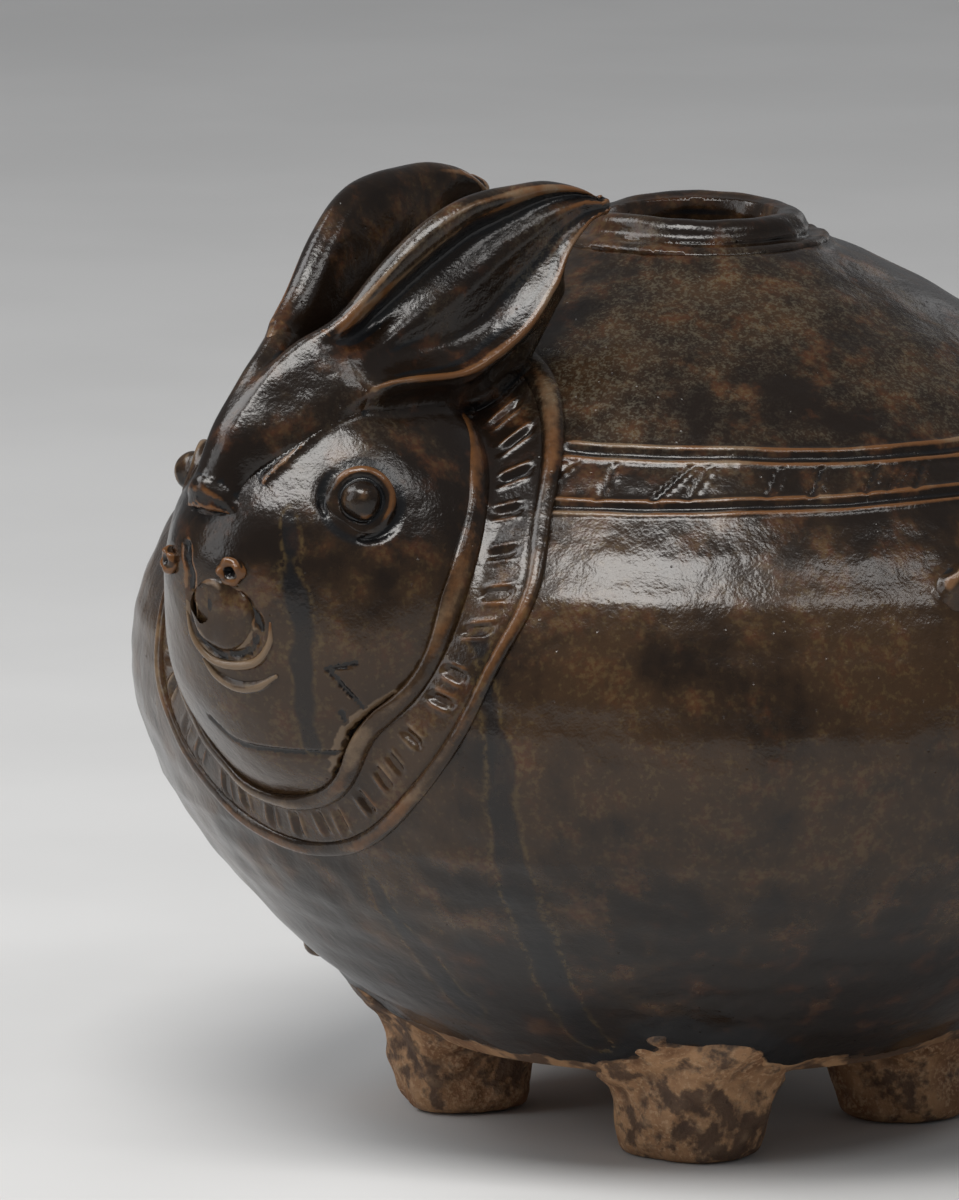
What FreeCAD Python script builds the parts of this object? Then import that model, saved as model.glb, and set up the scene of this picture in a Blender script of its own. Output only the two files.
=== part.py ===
import FreeCAD, Part
import math
import os

from FreeCAD import Vector

# A lime pot in the shape of a crouching animal: a hollow thrown body on four feet, with a small
# mouth on top and a modelled face, halter and laid-back ears luted to one side.
# Millimetres. Height 0 is the floor. Forward is where the face looks, left is the animal's left.

# Thrown body
body_radius = 95.6
widest_height = 79.5
base_height = 15.0
seam_height = 59.0
belly_drop = 86.9
belly_roundness = 1.88
belly_fullness = 0.876
shoulder_rise = 80.8
shoulder_roundness = 2.06
shoulder_fullness = 0.973
wall = 6.5
floor_thickness = 7.0

# Incised harness round the shoulder
harness_low = 117.0
harness_high = 124.5
harness_groove = 1.0

# Mouth
throat_radius = 13.0
neck_seat_radius = 20.0
neck_step_radius = 22.8
neck_step_top = 151.6
neck_radius = 16.6
neck_flare = 1.0
lip_top = 155.7
lip_thickness = 3.6
throat_bottom = 143.0

# Head, as half lengths round its centre, which lies inside the body's widest ring
head_sink = 19.1
head_rise = 18.5
head_reach = 34.5
head_half_width = 32.5
head_half_height = 36.0

# Crown lump under the ears, part of the head, placed from the head's centre
crown_ahead = 6.5
crown_rise = 21.0
crown_reach = 19.0
crown_half_width = 15.5
crown_half_height = 18.0

# Muzzle, placed from the head's centre, and the face pieces on it, placed from the muzzle's
muzzle_ahead = 20.5
muzzle_rise = 1.0
muzzle_radius = 16.5
nose_drop = 1.0
nose_half_width = 8.4
nose_half_height = 7.2
nose_proud = 1.8
lip_strip = 1.3
upper_lip_radius = 9.6
lower_lip_radius = 12.6
upper_lip_turn = 170.0
lower_lip_turn = 100.0
nostril_left = 6.0
nostril_rise = 8.0
nostril_radius = 2.0
nostril_strip = 0.9

# Crest and ears: upper and lower rim, each place ahead, left and up from the head's centre.
# The stem's inner side is thick and sunk in the head, and it thins out into the ear.
crest_rims = (
    ((36.0, 1.0, 24.0), (34.0, 2.5, 18.0)),
    ((31.0, 1.5, 33.0), (28.5, 6.0, 23.4)),
    ((24.0, 2.0, 40.5), (23.9, 9.0, 27.5)),
    ((16.0, 4.3, 46.4), (12.0, 14.2, 36.1)),
)
ear_rims = (
    crest_rims[-1],
    ((1.1, 11.0, 59.9), (-7.4, 17.2, 38.9)),
    ((-7.9, 13.7, 66.0), (-21.2, 18.6, 44.3)),
    ((-21.5, 15.2, 68.2), (-27.1, 18.8, 50.2)),
    ((-38.5, 16.0, 65.2), (-38.0, 17.0, 62.5)),
)
stem_thickness = 9.0
stem_sink = 5.0
stem_hollow = 0.2
ear_thickness = 3.7
ear_hollow = 5.0
ear_thinning = 5
ear_sections = 9
keel_front = (7.5, 8.5, 35.5)
keel_middle = (-16.5, 9.0, 36.0)
keel_rear = (-29.0, 14.8, 50.0)
keel_thickness = 11.0
keel_rear_thickness = 5.0

# Eyes, placed from the head's centre
eye_left = 19.7
eye_rise = 20.8
eye_ring_radius = 5.2
eye_ring_strip = 1.5
eye_pellet_radius = 3.0

# Halter: ovals seen from the front, laid on the body and lapped by the head's rim
halter_drop = 2.0
halter_side_lap = 0.5
halter_end_lap = 5.0
halter_width = 9.5
halter_thickness = 1.4
halter_back = 30.0
cord_width = 2.2
inner_cord_thickness = 2.6
outer_cord_thickness = 2.2
tick_count = 36
tick_width = 1.4
tick_length = 5.0
tick_depth = 0.8

# Feet
leg_left = 28.6
leg_front = 27.1
leg_rear = 23.2
leg_sole_radius = 11.8
leg_top_radius = 17.0
leg_top_height = 26.0
sole_rounding = 2.5

# Small trim on the body
lug_turn = 77.0
lug_height = 103.0
lug_half_length = 5.0
lug_half_height = 3.8
lug_proud = 3.6
tail_height = 96.0
tail_drop = 24.0
tail_root_radius = 5.0
tail_tip_radius = 3.0
drip_turn = -43.0
drip_height = 28.5
drip_radius = 2.4

UP = Vector(0, 0, 1)
REACH = 400.0

head_forward = body_radius - head_sink
head_height = widest_height + head_rise
muzzle_forward = head_forward + muzzle_ahead
muzzle_height = head_height + muzzle_rise
nose_height = muzzle_height - nose_drop
nostril_height = muzzle_height + nostril_rise
eye_height = head_height + eye_rise
halter_height = head_height - halter_drop
halter_half_width = head_half_width - halter_side_lap
halter_half_height = head_half_height - halter_end_lap


def at(forward, left, height):
    return Vector(left, -forward, height)


def from_head(ahead, left, rise):
    return at(head_forward + ahead, left, head_height + rise)


def body_outline(height):
    """Radius of the body's outside at a height, and its slope there."""
    if height < widest_height:
        u = (widest_height - height) / belly_drop
        power, share, rise = belly_roundness, belly_fullness, -belly_drop
    else:
        u = (height - widest_height) / shoulder_rise
        power, share, rise = shoulder_roundness, shoulder_fullness, shoulder_rise
    rest = 1 - u**power
    slope = -body_radius * share * rest ** (share - 1) * power * u ** (power - 1) / rise
    return body_radius * rest**share, slope


def height_at(radius):
    """Height on the shoulder where the body has this radius."""
    rest = (radius / body_radius) ** (1 / shoulder_fullness)
    return widest_height + shoulder_rise * (1 - rest) ** (1 / shoulder_roundness)


def turned_body(proud=0.0):
    """Solid of revolution that stands proud of the body's outside, or lies inside it."""
    top = height_at(neck_seat_radius)
    count = 15
    points = []
    for i in range(count):
        swing = math.cos(math.pi * i / (count - 1))
        height = (top + base_height) / 2 - swing * (top - base_height) / 2
        radius, slope = body_outline(height)
        length = math.hypot(1, slope)
        points.append(Vector(radius + proud / length, 0, height - proud * slope / length))
    side = Part.BSplineCurve()
    side.interpolate(points)
    low = Vector(0, 0, points[0].z)
    high = Vector(0, 0, points[-1].z)
    edges = [side.toShape()]
    edges.append(Part.makeLine(points[-1], high))
    edges.append(Part.makeLine(high, low))
    edges.append(Part.makeLine(low, points[0]))
    return Part.Face(Part.Wire(edges)).revolve(Vector(), UP, 360)


def turned(points):
    """Solid of revolution from radius and height pairs."""
    corners = [Vector(radius, 0, height) for radius, height in points]
    return Part.Face(Part.makePolygon(corners + corners[:1])).revolve(Vector(), UP, 360)


def largest(shape):
    return max(shape.Solids, key=lambda solid: solid.Volume)


def seated(shape, *carriers):
    """The part of a shape that stands free of the pieces it is luted to."""
    for carrier in carriers:
        shape = shape.cut(carrier)
    return largest(shape)


def ellipsoid(centre, half_left, half_forward, half_height):
    matrix = FreeCAD.Matrix()
    matrix.scale(half_left, half_forward, half_height)
    matrix.move(centre)
    return Part.makeSphere(1).transformGeometry(matrix)


def rod(start, end, start_radius, end_radius):
    """Tapered rod with round ends."""
    run = end - start
    if start_radius == end_radius:
        shape = Part.makeCylinder(start_radius, run.Length, start, run)
    else:
        shape = Part.makeCone(start_radius, end_radius, run.Length, start, run)
    shape = shape.fuse(Part.makeSphere(start_radius, start))
    return shape.fuse(Part.makeSphere(end_radius, end))


def head_surface(left, height):
    """Point on the front of the head."""
    rest = 1 - (left / head_half_width) ** 2 - ((height - head_height) / head_half_height) ** 2
    return at(head_forward + head_reach * math.sqrt(max(rest, 0.05)), left, height)


def head_normal(point):
    out = point - from_head(0, 0, 0)
    scaled = Vector(out.x / head_half_width**2, out.y / head_reach**2, out.z / head_half_height**2)
    return scaled.normalize()


def body_parts(body):
    cavity = turned_body(-wall)
    floor = Part.makeCylinder(REACH, REACH, Vector(0, 0, base_height + floor_thickness))
    shell = body.cut(cavity.common(floor))
    shell = shell.cut(Part.makeCylinder(neck_seat_radius, REACH, Vector(0, 0, seam_height)))
    above = Part.makeCylinder(REACH, REACH, Vector(0, 0, seam_height))
    dome = shell.common(above)
    for height in (harness_low, harness_high):
        radius, slope = body_outline(height)
        dome = dome.cut(Part.makeTorus(radius, harness_groove / 2, Vector(0, 0, height), UP))
    return largest(shell.cut(above)), largest(dome)


def neck_rim(body, dome):
    middle = lip_top - lip_thickness / 2
    outline = [
        (throat_radius, throat_bottom),
        (neck_step_radius, throat_bottom),
        (neck_step_radius, neck_step_top),
        (neck_radius, neck_step_top + neck_flare),
        (neck_radius, middle),
        (throat_radius, middle),
    ]
    rim = turned(outline).fuse(Part.makeTorus(neck_radius, lip_thickness / 2, Vector(0, 0, middle), UP))
    rim = rim.cut(Part.makeCylinder(throat_radius, REACH))
    shoulder = body.cut(Part.makeCylinder(neck_seat_radius, REACH))
    return seated(rim, shoulder, dome)


def head_pieces(body):
    lump = ellipsoid(from_head(0, 0, 0), head_half_width, head_reach, head_half_height)
    centre = from_head(crown_ahead, 0, crown_rise)
    crown = ellipsoid(centre, crown_half_width, crown_reach, crown_half_height)
    head = seated(lump.fuse(crown), body)
    muzzle = Part.makeSphere(muzzle_radius, from_head(muzzle_ahead, 0, muzzle_rise))
    muzzle = seated(muzzle, lump, crown, body)
    rims = [(from_head(*upper), from_head(*lower)) for upper, lower in crest_rims]
    half = Part.makeLoft([stem_section(upper, lower) for upper, lower in rims], True)
    crest = half.fuse(half.mirror(Vector(), Vector(1, 0, 0)))
    return head, muzzle, seated(crest, lump, crown, body, muzzle)


def crescent(radius, turn, height, *carriers):
    """Strip in an arc under the nose, pressed onto the muzzle."""
    lip = Part.makeTorus(radius, lip_strip, Vector(), UP, -180, 180, turn)
    lip.rotate(Vector(), UP, -90 - turn / 2)
    lip.rotate(Vector(), Vector(1, 0, 0), 90)
    lip.translate(Vector(0, muzzle_front(radius / 2, height - radius / 2), height))
    return seated(lip, *carriers)


def muzzle_front(left, height):
    """Where the muzzle's front lies, as the Y of that place."""
    rest = muzzle_radius**2 - left**2 - (height - muzzle_height) ** 2
    return -muzzle_forward - math.sqrt(max(rest, 0))


def face_pieces(body, head, muzzle, crest):
    nose_centre = Vector(0, muzzle_front(0, nose_height), nose_height)
    nose = ellipsoid(nose_centre, nose_half_width, nose_proud, nose_half_height)
    pieces = {"nose_lobe": seated(nose, body, head, muzzle, crest)}
    carriers = (body, head, muzzle, pieces["nose_lobe"])
    pieces["upper_lip"] = crescent(upper_lip_radius, upper_lip_turn, nose_height, *carriers)
    pieces["lower_lip"] = crescent(lower_lip_radius, lower_lip_turn, nose_height, *carriers)
    place = Vector(nostril_left, muzzle_front(nostril_left, nostril_height), nostril_height)
    axis = place - from_head(muzzle_ahead, 0, muzzle_rise)
    nostril = Part.makeTorus(nostril_radius, nostril_strip, place, axis)
    pieces["nostril_left"] = seated(nostril, body, head, muzzle, pieces["nose_lobe"], crest)
    eye = head_surface(eye_left, eye_height)
    axis = head_normal(eye)
    ring = Part.makeTorus(eye_ring_radius, eye_ring_strip, eye, axis)
    pieces["eye_ring_left"] = seated(ring, body, head, muzzle, crest)
    pellet = Part.makeSphere(eye_pellet_radius, eye)
    pieces["eye_pellet_left"] = seated(pellet, body, head, muzzle, crest, pieces["eye_ring_left"])
    return pieces


def section(rim, brim, thickness, sink, hollow):
    """Outline across the crest or an ear: hollowed outer face, then the back sunk inwards."""
    across = (brim - rim).normalize()
    along = from_head(*ear_rims[-1][0]) - from_head(*ear_rims[0][0])
    out = across.cross(along).normalize()
    inner = rim - out * ear_thickness
    heel = brim - out * thickness + across * sink
    face = Part.Arc(rim, (rim + brim) * 0.5 - out * hollow, brim).toShape()
    back = Part.Arc(heel, (heel + inner) * 0.5 - out * hollow, inner).toShape()
    return Part.Wire([face, Part.makeLine(brim, heel), back, Part.makeLine(inner, rim)])


def stem_section(rim, brim, share=1.0):
    hollow = ear_hollow * math.sin(math.pi * (1 - share)) + stem_hollow
    more = share**ear_thinning
    thickness = ear_thickness + (stem_thickness - ear_thickness) * more
    return section(rim, brim, thickness, stem_sink * more, hollow)


def even_points(places):
    """Points at even steps on the smooth line through some places."""
    line = Part.BSplineCurve()
    line.interpolate([from_head(*place) for place in places])
    return line.discretize(ear_sections)


def ear(*carriers):
    uppers = even_points([upper for upper, lower in ear_rims])
    lowers = even_points([lower for upper, lower in ear_rims])
    outlines = []
    for i in range(ear_sections):
        outlines.append(stem_section(uppers[i], lowers[i], 1 - i / (ear_sections - 1)))
    front, middle, rear = from_head(*keel_front), from_head(*keel_middle), from_head(*keel_rear)
    keel = rod(front, middle, keel_thickness / 2, keel_thickness / 2)
    keel = keel.fuse(rod(middle, rear, keel_thickness / 2, keel_rear_thickness / 2))
    return seated(Part.makeLoft(outlines, True).fuse(keel), *carriers)


def oval(half_width, half_height):
    """Oval bar along the forward direction, from behind the shoulder to past the face."""
    matrix = FreeCAD.Matrix()
    matrix.scale(half_width, half_height, 1)
    bar = Part.makeCylinder(1, REACH).transformGeometry(matrix)
    bar.rotate(Vector(), Vector(1, 0, 0), 90)
    bar.translate(at(halter_back, 0, halter_height))
    return bar


def halter_strip(body, inset, width, thickness):
    half_width = halter_half_width + inset
    half_height = halter_half_height + inset
    tube = oval(half_width + width, half_height + width).cut(oval(half_width, half_height))
    return tube.common(turned_body(thickness)).cut(body)


def halter_ticks():
    """Short slots across the strap, all round the oval."""
    slots = []
    for i in range(tick_count):
        turn = 2 * math.pi * i / tick_count
        left = (halter_half_width + halter_width / 2) * math.cos(turn)
        rise = (halter_half_height + halter_width / 2) * math.sin(turn)
        corner = Vector(-tick_length / 2, 0, -tick_width / 2)
        slot = Part.makeBox(tick_length, REACH, tick_width, corner)
        slot.rotate(Vector(), Vector(0, 1, 0), -math.degrees(turn))
        slot.translate(at(REACH + halter_back, left, halter_height + rise))
        slots.append(slot)
    shallow = turned_body(2 * halter_thickness).cut(turned_body(halter_thickness - tick_depth))
    return Part.makeCompound(slots).common(shallow)


def halter(body, *carriers):
    inner = halter_strip(body, 0, cord_width, inner_cord_thickness)
    band = halter_strip(body, cord_width, halter_width - 2 * cord_width, halter_thickness)
    outer = halter_strip(body, halter_width - cord_width, cord_width, outer_cord_thickness)
    pieces = {"collar_inner_cord": seated(inner, *carriers)}
    pieces["collar_band"] = seated(band, *carriers, halter_ticks())
    pieces["collar_outer_cord"] = seated(outer, *carriers)
    return pieces


def legs(body):
    pieces = {}
    for end, forward in (("front", leg_front), ("rear", -leg_rear)):
        for side, sign in (("left", 1), ("right", -1)):
            shape = Part.makeCone(leg_sole_radius, leg_top_radius, leg_top_height)
            sole = [edge for edge in shape.Edges if edge.BoundBox.ZMax < sole_rounding / 2]
            shape = shape.makeFillet(sole_rounding, sole)
            shape.translate(at(forward, sign * leg_left, 0))
            pieces["leg_" + end + "_" + side] = seated(shape, body)
    return pieces


def on_body(turn, height):
    """Point on the body's outside, turned from forward towards the animal's left."""
    radius, slope = body_outline(height)
    angle = math.radians(turn)
    return at(radius * math.cos(angle), radius * math.sin(angle), height)


def body_trim(body):
    lug = ellipsoid(Vector(), lug_proud, lug_half_length, lug_half_height)
    lug.rotate(Vector(), UP, lug_turn - 90)
    lug.translate(on_body(lug_turn, lug_height))
    root = on_body(180, tail_height)
    tip = on_body(180, tail_height - tail_drop)
    pieces = {"side_lug_left": seated(lug, body)}
    pieces["tail"] = seated(rod(root, tip, tail_root_radius, tail_tip_radius), body)
    pieces["glaze_drip"] = seated(Part.makeSphere(drip_radius, on_body(drip_turn, drip_height)), body)
    return pieces


def pot():
    body = turned_body()
    pieces = {}
    pieces["lower_bowl"], pieces["upper_dome"] = body_parts(body)
    pieces["neck_rim"] = neck_rim(body, pieces["upper_dome"])
    head, muzzle, crest = head_pieces(body)
    pieces.update(head=head, muzzle=muzzle, brow_crest=crest)
    pieces.update(face_pieces(body, head, muzzle, crest))
    straps = halter(body, head, crest)
    pieces.update(straps)
    pieces["ear_left"] = ear(body, head, crest, *straps.values())
    pieces.update(legs(body))
    pieces.update(body_trim(body))
    for name in [name for name in pieces if name.endswith("_left") and not name.startswith("leg")]:
        right = pieces[name].mirror(Vector(), Vector(1, 0, 0))
        pieces[name.replace("_left", "_right")] = right
    return pieces


def centred(pieces):
    """The same pieces with the middle of their outline over the origin."""
    middle = Part.makeCompound(list(pieces.values())).optimalBoundingBox().Center
    print("the pot's axis lies at", round(-middle.x, 3), round(-middle.y, 3))
    for shape in pieces.values():
        shape.translate(Vector(-middle.x, -middle.y, 0))
    return pieces


os.makedirs("parts", exist_ok=True)
for name, shape in centred(pot()).items():
    shape.exportStep("parts/" + name + ".step")
    print(name, len(shape.Solids), "solid,", round(shape.Volume / 1000, 2), "cm3")
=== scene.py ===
import math

import bpy
import numpy as np
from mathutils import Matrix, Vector


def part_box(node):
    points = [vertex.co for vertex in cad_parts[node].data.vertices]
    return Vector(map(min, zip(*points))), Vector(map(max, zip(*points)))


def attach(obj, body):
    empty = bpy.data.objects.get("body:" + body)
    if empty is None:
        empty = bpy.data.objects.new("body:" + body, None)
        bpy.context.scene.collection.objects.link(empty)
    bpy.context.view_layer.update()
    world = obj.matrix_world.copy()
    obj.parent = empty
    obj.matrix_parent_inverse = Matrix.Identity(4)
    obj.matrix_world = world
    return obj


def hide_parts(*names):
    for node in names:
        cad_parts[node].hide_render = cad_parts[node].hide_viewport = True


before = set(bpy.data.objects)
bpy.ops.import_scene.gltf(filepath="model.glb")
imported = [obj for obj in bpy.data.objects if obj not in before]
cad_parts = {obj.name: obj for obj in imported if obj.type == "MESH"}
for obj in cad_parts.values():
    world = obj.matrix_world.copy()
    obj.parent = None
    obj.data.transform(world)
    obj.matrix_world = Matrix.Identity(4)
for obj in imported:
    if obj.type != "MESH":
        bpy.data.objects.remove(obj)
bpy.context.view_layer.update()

# A lime pot in the shape of a crouching animal: dark brown glaze over stoneware, feet left bare.
# Everything is modelled in millimetres round the pot's own axis: x to the animal's left, y to its
# back, z up. Clay is described by distances, below zero inside, and then turned into meshes.

rimLow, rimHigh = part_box("neck_rim")
potY = (rimLow.y + rimHigh.y) / 2
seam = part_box("lower_bowl")[1].z * 1000
print("frame ready, pot axis at", round(potY, 5))


def spot(forward, left, height):
    return np.array([left, -forward, height], float)


def spots(*rows):
    return np.array([spot(*row) for row in rows])


def easing(x, low, high):
    t = np.clip((x - low) / (high - low), 0, 1)
    return t * t * (3 - 2 * t)


def lumps(p, size, seed, waves=9):
    # soft hand-made unevenness, about -1 to 1, with bumps of roughly this size
    chance = np.random.default_rng(seed)
    total = np.zeros(len(p))
    for i in range(waves):
        way = chance.normal(size=3)
        way *= 2 * math.pi / size / np.linalg.norm(way) * chance.uniform(0.6, 1.3)
        total += np.sin(p @ way + chance.uniform(0, 2 * math.pi))
    return total / math.sqrt(waves)


def ball(p, centre, half):
    q = (p - centre) / half
    near = np.linalg.norm(q, axis=1)
    steep = np.linalg.norm(q / half, axis=1)
    return near * (near - 1) / np.maximum(steep, 1e-9)


def rod(p, start, end, startRadius, endRadius):
    run = end - start
    t = np.clip((p - start) @ run / (run @ run), 0, 1)
    away = np.linalg.norm(p - start - t[:, None] * run, axis=1)
    return away - startRadius - (endRadius - startRadius) * t


def chain(p, points, radii, reach=7.0):
    # rods end to end; beyond the reach only the distance to their box is worked out
    points = np.asarray(points)
    off = np.maximum(np.maximum(points.min(0) - p, p - points.max(0)), 0)
    value = np.linalg.norm(off, axis=1) + reach - max(radii)
    near = np.flatnonzero(off.max(1) < reach)
    if len(near):
        q = p[near]
        rods = [rod(q, points[i], points[i + 1], radii[i], radii[i + 1]) for i in range(len(points) - 1)]
        value[near] = np.minimum.reduce(rods)
    return value


def ring(p, centre, axis, radius, strip):
    q = p - centre
    along = q @ axis
    out = np.linalg.norm(q - along[:, None] * axis, axis=1)
    return np.hypot(out - radius, along) - strip


def unit(ways):
    return ways / np.maximum(np.linalg.norm(ways, axis=-1, keepdims=True), 1e-6)


def mirrored(p):
    return p * np.array([-1, 1, 1])


def meld(a, b, soft):
    return np.minimum(a, b) - soft / 4 * np.clip(1 - np.abs(a - b) / soft, 0, 1) ** 2


def carve(a, b, soft):
    return -meld(-a, -b, soft)


def slopeOf(field, p, reach=0.12):
    total = np.zeros_like(p)
    for way in ((1, -1, -1), (-1, -1, 1), (-1, 1, -1), (1, 1, 1)):
        total += field(p + np.array(way) * reach)[:, None] * np.array(way)
    return total / (4 * reach)


def settled(field, p, rounds=4, most=0.5):
    # points moved onto the surface
    for i in range(rounds):
        slope = slopeOf(field, p)
        step = field(p)[:, None] * slope / np.maximum((slope**2).sum(1), 0.05)[:, None]
        p = p - np.clip(step, -most, most)
    return p


def flowing(points, share=10):
    # a smooth line through the points
    p = np.vstack([2 * points[0] - points[1], points, 2 * points[-1] - points[-2]])
    t = np.linspace(0, 1, share, endpoint=False)[:, None]
    rows = []
    for i in range(1, len(p) - 2):
        a, b, c, d = p[i - 1:i + 3]
        bend = (2 * a - 5 * b + 4 * c - d) * t**2 + (3 * b - a - 3 * c + d) * t**3
        rows.append(b + ((c - a) * t + bend) / 2)
    return np.vstack(rows + [points[-1:]])


# Making meshes

def makePiece(name, points, faces, normals, masks, skin):
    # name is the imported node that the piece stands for
    mesh = bpy.data.meshes.new(name)
    placed = points * 0.001 + np.array([0, potY, 0])
    mesh.from_pydata(placed.tolist(), [], faces)
    mesh.shade_smooth()
    for title, values in masks.items():
        layer = mesh.attributes.new(title, "FLOAT", "POINT")
        layer.data.foreach_set("value", np.asarray(values, np.float32))
    mesh.normals_split_custom_set_from_vertices(normals.tolist())
    piece = bpy.data.objects.new(name, mesh)
    bpy.context.scene.collection.objects.link(piece)
    mesh.materials.append(materials[skin])
    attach(piece, "root")
    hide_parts(name)
    print(name, len(points), "points")


def sampled(field, low, high, step, block=4):
    # the field on a grid, worked out point by point only in blocks near the surface
    count = np.ceil((high - low) / (step * block)).astype(int)
    centres = [low[i] + step * block * (np.arange(count[i]) + 0.5) for i in range(3)]
    middle = np.stack(np.meshgrid(*centres, indexing="ij"), -1).reshape(-1, 3)
    rough = field(middle).reshape(count)
    near = np.abs(rough) < step * block * 1.7
    value = np.where(rough > 0, 9.0, -9.0)
    mark = near
    for i in range(3):
        value = np.repeat(value, block, i)
        value = np.concatenate([value, np.take(value, [-1], i)], i)
        mark = np.repeat(mark, block, i)
        pad = np.zeros_like(np.take(mark, [0], i))
        mark = np.concatenate([mark, pad], i) | np.concatenate([pad, mark], i)
    where = np.argwhere(mark)
    value[mark] = field(low + step * where)
    return value


def netted(value, low, step):
    # a quad mesh over the zero surface: one point in each cell that the surface crosses
    corners = [(i >> 2 & 1, i >> 1 & 1, i & 1) for i in range(8)]
    shape = np.array(value.shape) - 1
    parts = [value[a:a + shape[0], b:b + shape[1], c:c + shape[2]] for a, b, c in corners]
    inside = sum((part < 0).astype(np.int8) for part in parts)
    cells = np.argwhere((inside > 0) & (inside < 8))
    here = np.stack([part[tuple(cells.T)] for part in parts], 1)
    total = np.zeros((len(cells), 3))
    hits = np.zeros(len(cells))
    for a in range(8):
        for b in range(a + 1, 8):
            if bin(a ^ b).count("1") != 1:
                continue
            cross = (here[:, a] < 0) != (here[:, b] < 0)
            share = here[:, a] / np.where(cross, here[:, a] - here[:, b], 1)
            start, end = np.array(corners[a]), np.array(corners[b])
            total += np.where(cross[:, None], start + share[:, None] * (end - start), 0)
            hits += cross
    points = low + step * (cells + total / hits[:, None])
    index = np.full(shape, -1)
    index[tuple(cells.T)] = np.arange(len(cells))
    faces = []
    for axis in range(3):
        u, v = (axis + 1) % 3, (axis + 2) % 3
        first = np.take(value, np.arange(value.shape[axis] - 1), axis) < 0
        second = np.take(value, np.arange(1, value.shape[axis]), axis) < 0
        edge = np.argwhere(first != second)
        edge = edge[(edge[:, u] > 0) & (edge[:, v] > 0)]
        edge = edge[(edge[:, u] < shape[u]) & (edge[:, v] < shape[v])]
        back = np.zeros((4, 3), int)
        back[1, u] = back[2, u] = back[2, v] = back[3, v] = 1
        quad = np.stack([index[tuple((edge - shift).T)] for shift in back], 1)
        turned = first[tuple(edge.T)]
        quad[~turned] = quad[~turned, ::-1]
        faces.append(quad)
    return points, np.vstack(faces)


def sculpt(name, form, low, high, step, skin="glaze"):
    # form is a piece's field on its own and fused with its neighbours
    field, fused = form
    low, high = np.array(low, float), np.array(high, float)
    low, high = np.minimum(low, high), np.maximum(low, high)
    points, faces = netted(sampled(field, low, high, step), low, step)
    points = settled(field, points, 4, step * 0.6)
    shown = np.abs(fused(points)) < 0.15
    slope = slopeOf(field, points)
    slope[shown] = slopeOf(fused, points[shown])
    makePiece(name, points, faces.tolist(), unit(slope), glazeMasks(points, fused), skin)


def luted(own, *others, within=None, sunk=4.0):
    # a piece swells where it is smoothed onto its neighbours, and ends a little way inside them
    def parts(p):
        value = own(p)
        swell = np.zeros(len(p))
        fused = np.full(len(p), 99.0)
        for other, soft in others:
            there = other(p)
            more = soft / 4 * np.clip(1 - np.abs(value - there) / soft, 0, 1) ** 2
            swell += more
            fused = np.minimum(fused, there - more)
        return value - swell, fused

    def field(p):
        value = parts(p)[0]
        return value if within is None else np.maximum(value, -within(p) - sunk)

    def fused(p):
        value, rest = parts(p)
        return np.minimum(value, rest)

    return field, fused


# The body: two thrown bowls joined at a seam

body = dict(
    radius=95.6, widest=79.5, base=15.0, wall=6.5, floor=7.0,
    bellyDrop=86.9, bellyRound=1.88, bellyFull=0.876,
    shoulderRise=80.8, shoulderRound=2.06, shoulderFull=0.973,
    mouthSeat=20.0, mouthFlat=150.7, reliefEnds=(150.0, 151.5),
    columns=520, rowStep=1.25, fineStep=0.36, fineBelow=2.6, fineAbove=3.6, insideStep=4.0,
    waviness=0.32, dimples=0.08, throwing=0.05, seamRidge=0.22, seamWidth=1.3,
    # height, rise and width of each ring left by the thrower's hands
    rings=((101.8, 0.26, 2.0), (88.0, 0.14, 2.5), (72.0, 0.10, 3.0), (47.0, 0.12, 2.5), (137.0, 0.12, 2.0)),
)
harness = dict(
    low=117.1, high=123.9, sway=0.8, depth=0.5, width=0.40, burr=0.34, burrAway=1.0, burrWidth=0.4,
    tickStep=6.5, tickWidth=0.62, tickDepth=0.6, tickSlant=0.5, tickBurrAway=1.1, tickBurr=0.6,
    radius=71, starts=26.0, fadesIn=3,
)


def bodyAt(z):
    low = z < body["widest"]
    drop = np.where(low, -body["bellyDrop"], body["shoulderRise"])
    power = np.where(low, body["bellyRound"], body["shoulderRound"])
    full = np.where(low, body["bellyFull"], body["shoulderFull"])
    u = np.clip((z - body["widest"]) / drop, 0, 0.9985)
    rest = 1 - u**power
    slope = -body["radius"] * full * rest ** (full - 1) * power * u ** (power - 1) / drop
    return body["radius"] * rest**full, slope


def bodyField(p):
    radius, slope = bodyAt(p[:, 2])
    side = (np.hypot(p[:, 0], p[:, 1]) - radius) / np.hypot(1, slope)
    return np.maximum(side, body["base"] - p[:, 2])


def onBody(turn, z, proud=0.0):
    # a place on the body, turned from the front towards the animal's left, in degrees
    radius, slope = bodyAt(np.asarray(z, float))
    angle = np.radians(turn)
    out = radius + proud / np.hypot(1, slope)
    return np.stack([out * np.sin(angle), -out * np.cos(angle), z - proud * slope / np.hypot(1, slope)], -1)


def turnOf(p):
    return np.degrees(np.arctan2(p[:, 0], -p[:, 1]))


def harnessLines(turn):
    low = harness["low"] + harness["sway"] * np.sin(np.radians(turn * 2 + 200)) * 0.7
    high = harness["high"] + harness["sway"] * np.sin(np.radians(turn * 3 + 40))
    return low, high


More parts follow.
